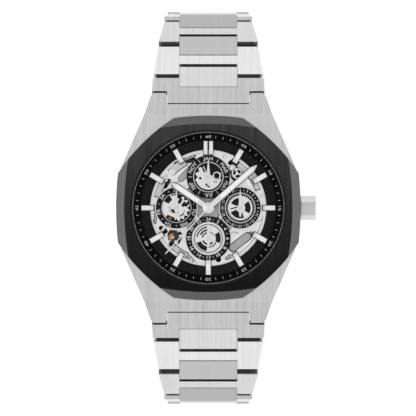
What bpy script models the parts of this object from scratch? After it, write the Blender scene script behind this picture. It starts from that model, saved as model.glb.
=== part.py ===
"""A skeleton wristwatch on a steel bracelet, closed on its clasp: dial up, 12 o'clock at +Y, crown at +X.

The origin is the centre of the caseback glass's outer face. Sizes below are in millimetres.
"""

import math

import bmesh
import bpy
from mathutils import Matrix, Vector

MM = 0.001

# Case
CASE_BOTTOM, CASE_TOP, LUG_TIP_TOP, LUG_TIP_BOTTOM = 0.6, 8.0, 6.47, 2.6
LUG_CREASE_Y, LUG_END_Y, LUG_GAP_HALF, LUG_GAP_Y = 21.6, 25.8, 9.6, 23.0
CASE_BORE, BACK_BORE, BACK_SEAT = 16.4, 17.5, 1.6
CROWN_Z = 4.6

# Bezel
BEZEL_BOTTOM, BEZEL_TOP, BEZEL_RADIUS = 8.1, 10.8, 21.0
BEZEL_CORNER = (7.83, 20.46)
BEZEL_DIAGONAL = (20.57, 7.92)
FACET_CENTRE, FACET_WIDTH, FACET_DROP = 44.8, 1.9, 1.3

# Dial side
SUBDIAL_Z, SUBDIAL_TOP = 6.35, 7.0
SUBDIALS = {
    "month": ((0.0, 7.08), 3.53, 4.95),
    "day": ((-7.3, 0.0), 3.36, 4.9),
    "date": ((7.3, 0.0), 3.45, 4.9),
    "hour24": ((0.0, -7.0), 3.73, 5.1),
}
HOUR_MARK_IN, HOUR_MARK_OUT, HOUR_MARK_WIDTH = 11.8, 15.4, 1.17
MINUTE_ANGLE, HOUR_ANGLE, SECONDS_ANGLE = 48.7, 304.0, 223.1

# Going train: centre, teeth, module and height of each wheel
CENTRE = (0.0, 0.0)
THIRD = (4.27, -2.47)
ESCAPE = (-3.79, -2.96)
PALLET = (-5.9, -4.6)
BALANCE = (-8.28, -6.47)
BARREL = (-3.85, 5.5)
LEVELS = [(3.85, 4.05), (4.3, 4.5), (4.75, 4.95), (5.15, 5.7)]

# Bracelet
PITCH, THICKNESS = 8.1, 2.4
FIRST_PIVOT = (31.08, 3.05)
END_LINK_TILT = 20.0
LINK_TILTS = [27.0, 47.0, 80.0, 104.0, 127.0, 149.0, 170.0]
LINK_HALF_WIDTHS = [12.5, 11.5, 10.3, 9.6, 9.4, 9.3, 9.2, 9.2]
ARM_START, ARM_SHORT, BAR_START, BAR_END = -1.0, 1.75, 1.7, 4.0
CENTRE_BACK, CENTRE_FRONT, CENTRE_HALF, ARM_INNER = 3.9, 1.0, 6.62, 6.72
PIN_RADIUS, PIN_BORE, PIN_HALF, BORE_HALF = 0.5, 0.62, 8.3, 8.6

# Clasp
HINGE_A = (-17.5, -34.93)
HINGE_B = (17.5, -35.4)
KNUCKLE_A, KNUCKLE_B, HINGE_PIN, HINGE_BORE = 0.55, 0.48, 0.25, 0.33
COVER_BOTTOM, COVER_TOP, COVER_WALL_TOP = -36.9, -36.0, -33.9
COVER_Y = (-21.5, 20.5)
COVER_HALF, COVER_WALL = 9.2, 1.0
INNER_BLADE_Z, OUTER_BLADE_Z = (-34.85, -34.25), (-35.6, -35.0)
BUTTON_HEAD, BUTTON_FLANGE = (7.6, 9.7), (7.6, 8.05)
BUTTON_Z = (-35.55, -34.45)

COLOURS = {
    "brushed_steel": ((0.62, 0.63, 0.65), 0.32, 1.0),
    "polished_steel": ((0.8, 0.81, 0.82), 0.12, 1.0),
    "silver_movement": ((0.72, 0.73, 0.74), 0.25, 1.0),
    "black_bezel": ((0.03, 0.03, 0.035), 0.35, 0.4),
    "black_dial": ((0.015, 0.015, 0.018), 0.3, 0.0),
    "brass_gear": ((0.78, 0.6, 0.3), 0.25, 1.0),
    "sapphire": ((0.9, 0.93, 0.95), 0.02, 0.0),
    "rubber": ((0.02, 0.02, 0.02), 0.8, 0.0),
}


def clear_scene():
    for obj in list(bpy.data.objects):
        bpy.data.objects.remove(obj, do_unlink=True)


def make_material(name):
    colour, roughness, metallic = COLOURS[name]
    material = bpy.data.materials.new(name)
    material.use_nodes = True
    shader = material.node_tree.nodes["Principled BSDF"]
    shader.inputs["Base Color"].default_value = (*colour, 1.0)
    shader.inputs["Roughness"].default_value = roughness
    shader.inputs["Metallic"].default_value = metallic
    return material


clear_scene()
PARTS = bpy.data.collections.new("skeleton_wristwatch")
bpy.context.scene.collection.children.link(PARTS)
MATERIALS = {name: make_material(name) for name in COLOURS}


# Outlines, in millimetres

def circle(radius, steps, centre=CENTRE, start=0.0):
    turn = 2 * math.pi / steps
    return [
        (centre[0] + radius * math.cos(start + i * turn), centre[1] + radius * math.sin(start + i * turn))
        for i in range(steps)
    ]


def rectangle(x0, y0, x1, y1):
    return [(x0, y0), (x1, y0), (x1, y1), (x0, y1)]


def moved(points, turn_degrees=0.0, shift=CENTRE):
    """Points turned anticlockwise about the origin, then shifted."""
    c, s = math.cos(math.radians(turn_degrees)), math.sin(math.radians(turn_degrees))
    return [(x * c - y * s + shift[0], x * s + y * c + shift[1]) for x, y in points]


def bowed(start, end, rise, steps):
    """A shallow arc from start up to, but not including, end, bulging to the left of the way along by rise."""
    dx, dy = end[0] - start[0], end[1] - start[1]
    length = math.hypot(dx, dy)
    nx, ny = -dy / length, dx / length
    points = []
    for i in range(steps):
        t = i / steps
        bulge = rise * 4 * t * (1 - t)
        points.append((start[0] + dx * t + nx * bulge, start[1] + dy * t + ny * bulge))
    return points


def sector(inner, outer, from_degrees, to_degrees, steps):
    """A ring's sector between two angles, as one closed outline."""
    angles = [math.radians(from_degrees + (to_degrees - from_degrees) * i / steps) for i in range(steps + 1)]
    out = [(outer * math.cos(a), outer * math.sin(a)) for a in angles]
    back = [(inner * math.cos(a), inner * math.sin(a)) for a in reversed(angles)]
    return out + back


def gear_outline(teeth, module):
    """A wheel's toothed rim, one triangle a tooth, whose tips stay just inside the pitch circle."""
    tip = teeth * module / 2 - 0.03
    root = tip - 1.5 * module
    points = []
    for i in range(teeth * 2):
        radius = tip if i % 2 == 0 else root
        angle = math.pi * i / teeth
        points.append((radius * math.cos(angle), radius * math.sin(angle)))
    return points


def ratchet_outline(teeth, tip, root):
    """Escape-wheel teeth that lean one way."""
    step = 2 * math.pi / teeth
    points = []
    for i in range(teeth):
        a = i * step
        points.append((tip * math.cos(a), tip * math.sin(a)))
        points.append((root * math.cos(a + 0.3 * step), root * math.sin(a + 0.3 * step)))
        points.append((root * math.cos(a + 0.75 * step), root * math.sin(a + 0.75 * step)))
    return points


# Solids

def into_object(name, mesh):
    obj = bpy.data.objects.new(name, mesh)
    PARTS.objects.link(obj)
    return obj


def scaled_down(mesh, matrix=None):
    """Millimetres to metres, after a placing matrix in millimetres."""
    if matrix is not None:
        mesh.transform(matrix)
    mesh.transform(Matrix.Scale(MM, 4))


PLANES = {
    "XY": Matrix.Identity(4),
    "YZ": Matrix(((0, 0, 1, 0), (1, 0, 0, 0), (0, 1, 0, 0), (0, 0, 0, 1))),
}


def plate(outlines, low, high, plane="XY"):
    """A flat outline, with holes for the outlines after the first, thickened from low to high."""
    curve = bpy.data.curves.new("outline", "CURVE")
    curve.dimensions = "2D"
    curve.fill_mode = "BOTH"
    curve.extrude = (high - low) / 2
    for points in outlines:
        spline = curve.splines.new("POLY")
        spline.points.add(len(points) - 1)
        for point, (x, y) in zip(spline.points, points):
            point.co = (x, y, 0, 1)
        spline.use_cyclic_u = True
    guide = into_object("outline", curve)
    bpy.context.view_layer.update()
    mesh = bpy.data.meshes.new_from_object(guide.evaluated_get(bpy.context.evaluated_depsgraph_get()))
    bpy.data.objects.remove(guide)
    bpy.data.curves.remove(curve)
    tidy(mesh, 1e-4)
    mesh.transform(Matrix.Translation((0, 0, (low + high) / 2)))
    scaled_down(mesh, PLANES[plane])
    return into_object("plate", mesh)


def tidy(mesh, merge=1e-7):
    form = bmesh.new()
    form.from_mesh(mesh)
    bmesh.ops.remove_doubles(form, verts=form.verts, dist=merge)
    bmesh.ops.recalc_face_normals(form, faces=form.faces)
    form.to_mesh(mesh)
    form.free()


def cylinder(radius, low, high, centre=CENTRE, steps=16, axis="Z", top_radius=None):
    """A cylinder or cone along Z, or along X with centre as (y, z)."""
    form = bmesh.new()
    top = radius if top_radius is None else top_radius
    bmesh.ops.create_cone(
        form, cap_ends=True, segments=steps, radius1=radius, radius2=top, depth=high - low
    )
    mesh = bpy.data.meshes.new("cylinder")
    form.to_mesh(mesh)
    form.free()
    mesh.transform(Matrix.Translation((0, 0, (low + high) / 2)))
    if axis == "X":
        mesh.transform(Matrix.Translation((0, centre[0], centre[1])) @ Matrix.Rotation(math.pi / 2, 4, "Y"))
    else:
        mesh.transform(Matrix.Translation((centre[0], centre[1], 0)))
    scaled_down(mesh)
    return into_object("cylinder", mesh)


def block(x0, x1, y0, y1, z0, z1):
    form = bmesh.new()
    bmesh.ops.create_cube(form, size=1.0)
    mesh = bpy.data.meshes.new("block")
    form.to_mesh(mesh)
    form.free()
    mesh.transform(Matrix.Diagonal((x1 - x0, y1 - y0, z1 - z0, 1)))
    mesh.transform(Matrix.Translation(((x0 + x1) / 2, (y0 + y1) / 2, (z0 + z1) / 2)))
    scaled_down(mesh)
    return into_object("block", mesh)


def turned(profile, steps):
    """A closed profile of (radius, height) points turned about Z."""
    area = sum(a[0] * b[1] - b[0] * a[1] for a, b in zip(profile, profile[1:] + profile[:1]))
    points = profile if area < 0 else profile[::-1]
    count = len(points)
    mesh = bpy.data.meshes.new("profile")
    mesh.from_pydata(
        [(r * MM, 0, z * MM) for r, z in points], [(i, (i + 1) % count) for i in range(count)], []
    )
    obj = into_object("turned", mesh)
    screw = obj.modifiers.new("turn", "SCREW")
    screw.steps = screw.render_steps = steps
    screw.use_merge_vertices = True
    screw.merge_threshold = 1e-6
    return baked(obj)


def baked(obj):
    """The object with its modifiers made part of its mesh."""
    bpy.context.view_layer.update()
    mesh = bpy.data.meshes.new_from_object(obj.evaluated_get(bpy.context.evaluated_depsgraph_get()))
    obj.modifiers.clear()
    obj.data = mesh
    tidy(mesh)
    return obj


def boolean(base, operation, others):
    for other in others:
        modifier = base.modifiers.new(operation.lower(), "BOOLEAN")
        modifier.operation = operation
        modifier.solver = "EXACT"
        modifier.object = other
    baked(base)
    for other in others:
        bpy.data.objects.remove(other)
    return base


def union(base, *others):
    return boolean(base, "UNION", others)


def cut(base, *others):
    return boolean(base, "DIFFERENCE", others)


def shared(base, *others):
    return boolean(base, "INTERSECT", others)


def finished(obj, name, material, origin=None, sharp=30.0):
    """Names the node, gives it its material and puts its origin on its joint's axis."""
    obj.name = name
    obj.data.name = name
    obj.data.materials.clear()
    obj.data.materials.append(MATERIALS[material])
    obj.data.shade_smooth()
    obj.data.set_sharp_from_angle(angle=math.radians(sharp))
    if origin is not None:
        place = Vector(origin) * MM
        obj.data.transform(Matrix.Translation(-place))
        obj.location = place
    return obj


# Case

def mirrored_quarter(quarter):
    """The outline whose first quarter, from +X round to +Y, is given."""
    upper = quarter + [(-x, y) for x, y in reversed(quarter)]
    return upper + [(x, -y) for x, y in reversed(upper)]


def make_case_middle():
    quarter = [
        (20.7, 2.0), (20.5, 7.0), (19.8, 9.5), (14.5, LUG_CREASE_Y), (13.1, LUG_END_Y),
        (LUG_GAP_HALF, LUG_END_Y), (LUG_GAP_HALF, LUG_GAP_Y),
    ]
    body = plate([mirrored_quarter(quarter)], CASE_BOTTOM - 1, CASE_TOP + 1)
    side = [
        (LUG_END_Y + 0.1, LUG_TIP_BOTTOM), (LUG_END_Y + 0.1, LUG_TIP_TOP), (LUG_CREASE_Y, CASE_TOP),
        (-LUG_CREASE_Y, CASE_TOP), (-LUG_END_Y - 0.1, LUG_TIP_TOP), (-LUG_END_Y - 0.1, LUG_TIP_BOTTOM),
        (-20.0, CASE_BOTTOM), (20.0, CASE_BOTTOM),
    ]
    shared(body, plate([side], -25, 25, "YZ"))
    cut(
        body,
        cylinder(CASE_BORE, -1, 10, steps=48),
        cylinder(BACK_BORE, -1, BACK_SEAT, steps=48),
        cylinder(1.3, 15, 22, (0, CROWN_Z), 16, "X"),
    )
    finished(body, "case_middle", "brushed_steel")


def bezel_outline():
    x, y = BEZEL_CORNER
    dx, dy = BEZEL_DIAGONAL
    corners = [(x, y), (dx, dy), (dx, -dy), (x, -y), (-x, -y), (-dx, -dy), (-dx, dy), (-x, y)]
    main_rise, diagonal_rise = BEZEL_RADIUS - y, 0.86
    outline = []
    for i, corner in enumerate(corners):
        rise = diagonal_rise if i % 2 == 0 else main_rise
        outline += bowed(corner, corners[(i + 1) % 8], rise, 6)
    return outline


def make_bezel():
    ring = plate([bezel_outline()], BEZEL_BOTTOM, BEZEL_TOP)
    slope = FACET_WIDTH / FACET_DROP
    top_radius = BEZEL_RADIUS - FACET_WIDTH + FACET_CENTRE
    low, high = BEZEL_BOTTOM - 1, BEZEL_TOP + 1
    for x, y in ((0, -1), (0, 1), (1, 0), (-1, 0)):
        cone = cylinder(
            top_radius + slope * (BEZEL_TOP - low), low, high, (x * FACET_CENTRE, y * FACET_CENTRE), 120,
            top_radius=top_radius - slope * (high - BEZEL_TOP),
        )
        shared(ring, cone)
    cut(ring, cylinder(17.3, 7, 12, steps=48), cylinder(17.75, 9.3, 12, steps=48))
    finished(ring, "bezel", "black_bezel")


def make_case_rings():
    crystal = cylinder(17.6, 9.4, 10.95, steps=48)
    shared(crystal, cylinder(19.35, 9.0, 11.2, steps=48, top_radius=17.15))
    finished(crystal, "crystal", "sapphire")
    profile = [
        (15.5, 7.3), (16.2, 7.3), (16.2, 8.15), (17.15, 8.15),
        (17.15, 9.2), (16.95, 9.2), (15.5, 7.75),
    ]
    finished(turned(profile, 48), "chapter_ring", "black_dial")
    ring = turned([(12.8, 0.35), (13.0, 0.15), (17.0, 0.15), (17.2, 0.35), (17.2, 1.35), (12.8, 1.35)], 36)
    slots = [block(*box) for box in back_key_slots()]
    finished(cut(ring, *slots), "caseback_ring", "brushed_steel")
    finished(cylinder(12.6, 0, 1.2, steps=36), "caseback_glass", "sapphire")
    ring = cut(
        plate([circle(16.2, 36), circle(15.1, 36)], 3.65, 6.75),
        cylinder(0.7, 12, 18, (0, CROWN_Z), 12, "X"),
    )
    finished(ring, "movement_ring", "silver_movement")


def back_key_slots():
    """Four notches in the caseback ring for the case key."""
    half, inner, outer, depth = 0.9, 15.6, 18.0, 0.6
    return [
        (-half, half, inner, outer, 0, depth), (-half, half, -outer, -inner, 0, depth),
        (inner, outer, -half, half, 0, depth), (-outer, -inner, -half, half, 0, depth),
    ]


def along_x(radius, low, high, bore=None, steps=16):
    """A rod on the crown's axis, or a tube with the given bore."""
    rod = cylinder(radius, low, high, (0, CROWN_Z), steps, "X")
    if bore is None:
        return rod
    return cut(rod, cylinder(bore, low - 1, high + 1, (0, CROWN_Z), steps, "X"))


def make_crown():
    axis = (0, 0, CROWN_Z)
    finished(along_x(1.25, 16.6, 21.9, 0.85), "crown_tube", "brushed_steel")
    body = cylinder(2.85, 21.1, 24.7, (0, 0), 6, "X")
    body.data.transform(Matrix.Rotation(math.radians(8), 4, "X"))
    body.data.transform(Matrix.Translation((0, 0, CROWN_Z * MM)))
    cut(body, along_x(1.5, 20, 22.1))
    bevel = body.modifiers.new("rounded", "BEVEL")
    bevel.width = 0.25 * MM
    bevel.segments = 2
    bevel.limit_method = "ANGLE"
    finished(baked(body), "crown", "brushed_steel", axis)
    finished(along_x(0.5, 12.0, 22.0, steps=12), "winding_stem", "polished_steel", axis)
    finished(along_x(0.8, 18.7, 19.2, 0.58), "crown_seal", "rubber", axis)


# Dial side

def make_dial_ring():
    ring = plate([circle(16.1, 48), circle(13.3, 48)], 6.8, 7.2)
    marks = []
    for hour in range(12):
        turn = -30 * hour
        inner = 12.4 if hour in (3, 9) else HOUR_MARK_IN
        half = HOUR_MARK_WIDTH / 2
        shifts = (-0.85, 0.85) if hour == 0 else (0.0,)
        for shift in shifts:
            outline = rectangle(shift - half, inner, shift + half, HOUR_MARK_OUT)
            marks.append(plate([moved(outline, turn)], 7.1, 7.8))
    finished(union(ring, *marks), "dial_ring", "black_dial")


def make_subdial(name):
    centre, inner, outer = SUBDIALS[name]
    ring = plate([circle(outer, 28, centre), circle(inner, 28, centre)], SUBDIAL_Z, SUBDIAL_TOP)
    finished(ring, f"{name}_ring", "black_dial")
    right = [(0.06, 4.1), (0.36, 1.0), (0.42, 0), (0.2, -2.0)]
    outline = right + [(-x, y) for x, y in reversed(right)]
    hand = plate([moved(outline, 0, centre)], 7.35, 7.5)
    hub = cylinder(0.45, 7.22, 7.6, centre, 12)
    finished(union(hand, hub), f"{name}_hand", "polished_steel", (*centre, 7.4))


def star_outline(points, tip, root):
    outline = []
    for i in range(points * 2):
        radius = root if i % 2 else tip
        angle = math.pi * i / points
        outline.append((radius * math.cos(angle), radius * math.sin(angle)))
    return outline


def make_calendar_wheels():
    """The star or wheel under each small dial, on the arbor that carries its hand."""
    outlines = {
        "month": ("month_star", star_outline(12, 3.0, 2.2)),
        "day": ("day_star", star_outline(7, 2.9, 1.7)),
        "date": ("date_wheel", star_outline(31, 2.95, 2.6)),
        "hour24": ("hour24_wheel", star_outline(48, 3.1, 2.85)),
    }
    for key, (name, outline) in outlines.items():
        centre = SUBDIALS[key][0]
        window = 1.4 if key == "day" else 2.1
        holes = [moved(sector(0.8, window, a, a + 80, 2), 20, centre) for a in (0, 120, 240)]
        wheel = plate([moved(outline, 90, centre), *holes], 6.4, 6.65)
        arbor = cylinder(0.3, 5.9, 7.2, centre, 8)
        finished(union(wheel, arbor), name, "brass_gear", (*centre, 6.5))


def hand_outline(length, half, tail, tip):
    right = [(half, -tail), (half, length - tip), (0.08, length)]
    return right + [(-x, y) for x, y in reversed(right)]


def make_hand(name, angle, length, half, tail, tip, z, hub, pipe, bore):
    """A centre hand at a clockwise angle from 12; pipe is its tube's radius, or None for no tube."""
    low, high = z
    hand = plate([moved(hand_outline(length, half, tail, tip), -angle)], low, high)
    union(hand, cylinder(hub, low, high, steps=24))
    if pipe is not None:
        union(hand, cylinder(pipe, SUBDIAL_Z, high - 0.05, steps=16))
        cut(hand, cylinder(bore, SUBDIAL_Z - 1, high + 1, steps=16))
    finished(hand, name, "polished_steel", (0, 0, low))


def make_hands():
    make_hand("hour_hand", HOUR_ANGLE, 10.2, 0.6, 0.2, 1.2, (7.9, 8.1), 1.25, 0.9, 0.66)
    make_hand("minute_hand", MINUTE_ANGLE, 14.7, 0.6, 0.2, 1.4, (8.3, 8.5), 1.15, 0.6, 0.36)
    make_hand("seconds_hand", SECONDS_ANGLE, 14.4, 0.13, 3.2, 0.5, (8.65, 8.8), 0.6, None, None)


# Movement

def wheel(outline, level, centre, hole_rings, arbor, pinion=None):
    """A crossed-out wheel on its arbor, with a pinion (outline, low, high) where it has one.

    hole_rings is (inner, outer, count) of the windows, and arbor is (radius, low, high).
    """
    inner, outer, count = hole_rings
    span = 360 / count
    holes = [moved(sector(inner, outer, i * span, i * span + span * 0.75, 2), 10, centre) for i in range(count)]
    low, high = LEVELS[level]
    body = plate([moved(outline, 0, centre), *holes], low, high)
    radius, bottom, top = arbor
    extras = [cylinder(radius, bottom, top, centre, 10)]
    if pinion is not None:
        shape, pinion_low, pinion_high = pinion
        extras.append(plate([moved(shape, 0, centre)], pinion_low, pinion_high))
    return union(body, *extras)


def make_going_train():
    pinion = (gear_outline(8, 0.1369), 4.0, 4.5)
    fourth = wheel(gear_outline(70, 0.125), 0, CENTRE, (0.9, 3.6, 4), (0.22, 3.0, 8.55), pinion)
    finished(fourth, "fourth_wheel", "brass_gear", (0, 0, 4))
    pinion = (gear_outline(8, 0.145), 4.45, 4.95)
    third = wheel(gear_outline(64, 0.1369), 1, THIRD, (0.9, 3.6, 5), (0.2, 3.65, 5.8), pinion)
    finished(third, "third_wheel", "brass_gear", (*THIRD, 4.4))
    pinion = (gear_outline(12, 0.16), 4.9, 5.7)
    centre = wheel(gear_outline(60, 0.145), 2, CENTRE, (1.3, 3.5, 5), (0.6, 4.6, 6.3), pinion)
    cut(centre, cylinder(0.36, 4, 7, steps=16))
    finished(centre, "centre_wheel", "brass_gear", (0, 0, 4.8))
    barrel = wheel(gear_outline(72, 0.16), 3, BARREL, (1.6, 4.6, 4), (0.6, 3.65, 5.8))
    finished(barrel, "barrel", "brass_gear", (*BARREL, 5.4))
    pinion = (gear_outline(7, 0.125), 3.85, 4.35)
    escape = wheel(ratchet_outline(15, 2.2, 1.75), 1, ESCAPE, (0.6, 1.45, 3), (0.15, 3.65, 5.8), pinion)
    finished(escape, "escape_wheel", "brass_gear", (*ESCAPE, 4.4))


def make_regulating_parts():
    toward_balance = math.degrees(math.atan2(BALANCE[1] - PALLET[1], BALANCE[0] - PALLET[0]))
    side = [
        (2.3, 0.3), (2.1, 0.45), (1.6, 0.15), (0.3, 0.25), (0.25, 1.7),
        (-0.7, 1.7), (-0.7, 1.45), (-0.2, 1.4), (-0.3, 0.4),
    ]
    outline = [(1.95, 0.0)] + side + [(x, -y) for x, y in reversed(side)]
    fork = plate([moved(outline, toward_balance, PALLET)], *LEVELS[1])
    union(fork, cylinder(0.13, 3.65, 4.7, PALLET, 10))
    finished(fork, "pallet_fork", "polished_steel", (*PALLET, 4.4))

    holes = [moved(sector(0.5, 2.4, a, a + 100, 4), 0, BALANCE) for a in (10, 130, 250)]
    balance = plate([circle(2.9, 28, BALANCE), *holes], 4.75, 5.0)
    union(balance, cylinder(0.18, 3.65, 5.35, BALANCE, 10), cylinder(0.4, 4.3, 4.8, BALANCE, 12))
    finished(balance, "balance_wheel", "brass_gear", (*BALANCE, 4.9))

    steps, turns = 42, 3
    angles = [2 * math.pi * turns * i / steps for i in range(steps + 1)]
    radii = [0.45 + 1.35 * i / steps for i in range(steps + 1)]
    outer = [((r + 0.05) * math.cos(a), (r + 0.05) * math.sin(a)) for r, a in zip(radii, angles)]
    inner = [((r - 0.05) * math.cos(a), (r - 0.05) * math.sin(a)) for r, a in zip(radii, angles)]
    spring = plate([moved(outer + inner[::-1], 0, BALANCE)], 5.12, 5.24)
    finished(spring, "hairspring", "polished_steel")

    direction = math.degrees(math.atan2(BALANCE[1], BALANCE[0]))
    foot = plate([sector(13.6, 14.9, direction - 14, direction + 14, 6)], 3.65, 5.75)
    arm = plate([moved(rectangle(9.9, -1.1, 13.9, 1.1), direction)], 5.4, 5.75)
    table = plate([circle(1.5, 20, BALANCE)], 5.4, 5.75)
    finished(union(foot, arm, table), "balance_cock", "silver_movement")


def make_plates():
    windows = [circle(2.1, 14, (x, y)) for x in (-8.6, 8.6) for y in (-6.9, 6.9)]
    window_centres = ((9.5, 6.0), (9.5, -7.5), (-9.5, 8.5), (0, -10.5))
    plate_windows = [circle(2.4, 14, centre) for centre in window_centres]
    base = plate([circle(16.2, 36), circle(0.45, 8), *plate_windows], 2.7, 3.6)
    finished(base, "main_plate", "silver_movement")
    bridge_holes = [circle(0.75, 12), *windows]
    for key, (centre, inner, outer) in SUBDIALS.items():
        bridge_holes.append(circle(0.4, 8, centre))
        for angle in (30, 150, 270):
            bridge_holes.append(moved(sector(1.1, 2.9, angle - 42, angle + 42, 3), 0, centre))
    bridge = plate([circle(15.0, 36), *bridge_holes], 5.85, 6.3)
    finished(bridge, "train_bridge", "silver_movement")
    weight = plate([sector(9.5, 13.5, 180, 360, 14)], 1.7, 2.55)
    web = plate([sector(1.5, 11, 182, 358, 8)], 1.78, 2.1)
    finished(union(weight, web, cylinder(2.3, 1.74, 2.6, steps=20)), "rotor", "silver_movement", (0, 0, 2))


# Bracelet: each link is built about its nearer pivot, with the bracelet's run along local +Y

def cross_pin(radius, y, half):
    return cylinder(radius, -half, half, (y, 0.0), 8, "X")


def carried_centre(base, pivot):
    """Adds the centre link that turns the next joint, the pin that holds it and its hinge pin's two ends."""
    half = THICKNESS / 2
    return union(
        base,
        block(-CENTRE_HALF, CENTRE_HALF, pivot - CENTRE_BACK, pivot + CENTRE_FRONT, -half, half),
        cross_pin(PIN_RADIUS, pivot - 2.8, ARM_INNER + 0.8),
        cross_pin(PIN_RADIUS, pivot, PIN_HALF),
    )


def place_link(obj, name, pivot, tilt, side):
    """Puts a link on its pivot; side is 1 at 12 o'clock and -1 at 6 o'clock."""
    finished(obj, name, "brushed_steel")
    obj.location = Vector((0, side * pivot[0], pivot[1])) * MM
    run = Matrix.Rotation(math.radians(-tilt), 4, "X")
    half_turn = Matrix.Rotation(0 if side > 0 else math.pi, 4, "Z")
    obj.rotation_euler = (half_turn @ run).to_euler()


def make_end_link(name, side):
    half = THICKNESS / 2
    ear_in, ear_out = 12.9, 12.7
    right = [
        (ARM_INNER, -4.0), (ARM_INNER, -ARM_SHORT), (ear_out, -ARM_SHORT),
        (ear_in, -5.0), (9.4, -5.06), (9.4, -8.0),
    ]
    outline = right + [(-x, y) for x, y in reversed(right)]
    body = carried_centre(plate([outline], -half, half), 0.0)
    place_link(body, name, FIRST_PIVOT, END_LINK_TILT, side)


def make_link(name, index, pivot, side):
    half = THICKNESS / 2
    near, far = LINK_HALF_WIDTHS[index], LINK_HALF_WIDTHS[index + 1]
    last = index == len(LINK_TILTS) - 1
    end = PITCH + CENTRE_FRONT if last else PITCH - ARM_SHORT
    right = [
        (ARM_INNER, BAR_START), (ARM_INNER, ARM_START), (near, ARM_START), (far, end), (ARM_INNER, end),
        (ARM_INNER, BAR_END),
    ]
    outline = right + [(-x, y) for x, y in reversed(right)]
    body = plate([outline], -half, half)
    bores = [cross_pin(PIN_BORE, 0.0, BORE_HALF)]
    if last:
        bores.append(cross_pin(PIN_BORE, PITCH, BORE_HALF))
    cut(body, *bores)
    if not last:
        carried_centre(body, PITCH)
    place_link(body, name, pivot, LINK_TILTS[index], side)


def pivots():
    """The (y, z) of each pivot on the 12 o'clock side, from the end link to the clasp."""
    y, z = FIRST_PIVOT
    found = [(y, z)]
    for tilt in LINK_TILTS:
        y += PITCH * math.cos(math.radians(tilt))
        z -= PITCH * math.sin(math.radians(tilt))
        found.append((y, z))
    return found


def make_bracelet():
    places = pivots()
    for hour, side in ((12, 1), (6, -1)):
        make_end_link(f"end_link_{hour}", side)
        for index in range(len(LINK_TILTS)):
            make_link(f"link_{hour}_{index + 1}", index, places[index], side)


# Clasp

def x_rod(radius, low, high, place, steps=12):
    return cylinder(radius, low, high, place, steps, "X")


def make_inner_blade():
    last = pivots()[-1]
    right = [(3.15, -16.4), (3.15, -17.4), (6.0, -17.4), (6.0, 23.4)]
    outline = right + [(-x, y) for x, y in reversed(right)]
    slot = rectangle(-2.2, -10, 2.2, 16)
    blade = plate([outline, slot], *INNER_BLADE_Z)
    union(
        blade,
        x_rod(0.9, -6.5, 6.5, last, 16),
        x_rod(PIN_RADIUS, -PIN_HALF, PIN_HALF, last, 10),
        x_rod(KNUCKLE_A, 3.15, 6.0, HINGE_A),
        x_rod(KNUCKLE_A, -6.0, -3.15, HINGE_A),
        x_rod(HINGE_PIN, -5.0, 5.0, HINGE_A, 8),
    )
    finished(blade, "clasp_inner_blade", "brushed_steel", (0, *last))


def make_outer_blade():
    right = [(2.9, -17.4), (2.9, -16.3), (6.0, -16.2), (6.0, 16.1), (2.9, 16.2), (2.9, 17.4)]
    outline = right + [(-x, y) for x, y in reversed(right)]
    blade = plate([outline, rectangle(-2.2, -13, 2.2, 13)], *OUTER_BLADE_Z)
    union(blade, x_rod(KNUCKLE_A, -3.0, 3.0, HINGE_A), x_rod(KNUCKLE_B, -3.0, 3.0, HINGE_B))
    cut(blade, x_rod(HINGE_BORE, -4, 4, HINGE_A), x_rod(HINGE_BORE, -4, 4, HINGE_B))
    finished(blade, "clasp_outer_blade", "brushed_steel", (0, *HINGE_A))


def make_cover():
    near, far = COVER_Y
    inner = COVER_HALF - COVER_WALL
    cover = block(-COVER_HALF, COVER_HALF, near, far, COVER_BOTTOM, COVER_WALL_TOP)
    cut(cover, block(-inner, inner, near - 1, far + 1, COVER_TOP, COVER_WALL_TOP + 1))
    y, z = HINGE_B
    additions = [
        block(-6.3, 6.3, near, near + 0.9, COVER_TOP - 0.4, COVER_WALL_TOP),
        block(-6.3, 6.3, near - 2.8, near + 0.5, -35.1, COVER_WALL_TOP),
        x_rod(HINGE_PIN, -5.0, 5.0, HINGE_B, 8),
    ]
    for low, high in ((3.2, 6.0), (-6.0, -3.2)):
        additions.append(x_rod(KNUCKLE_B, low, high, HINGE_B))
        additions.append(block(low, high, y - 0.4, y + 0.4, COVER_TOP - 0.4, z))
    union(cover, *additions)
    notches = [block(7, 10, -16.2, -11.8, -35.7, -34.3), block(-10, -7, -16.2, -11.8, -35.7, -34.3)]
    finished(cut(cover, *notches), "clasp_cover", "brushed_steel", (0, *HINGE_B))


def make_buttons():
    for name, side in (("clasp_button_right", 1), ("clasp_button_left", -1)):
        head = sorted(side * x for x in BUTTON_HEAD)
        flange = sorted(side * x for x in BUTTON_FLANGE)
        button = union(block(*head, -16.0, -12.0, *BUTTON_Z), block(*flange, -16.7, -11.3, *BUTTON_Z))
        finished(button, name, "polished_steel", (8.5 * side, -14, -35))


make_case_middle()
make_bezel()
make_case_rings()
make_crown()
make_dial_ring()
for subdial in SUBDIALS:
    make_subdial(subdial)
make_calendar_wheels()
make_hands()
make_going_train()
make_regulating_parts()
make_plates()
make_bracelet()
make_inner_blade()
make_outer_blade()
make_cover()
make_buttons()
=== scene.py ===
"""The looks of the skeleton wristwatch: finishes on the frame's nodes, and the fine pieces on them."""
import math
import bmesh
import bpy
from mathutils import Matrix, Vector


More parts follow.
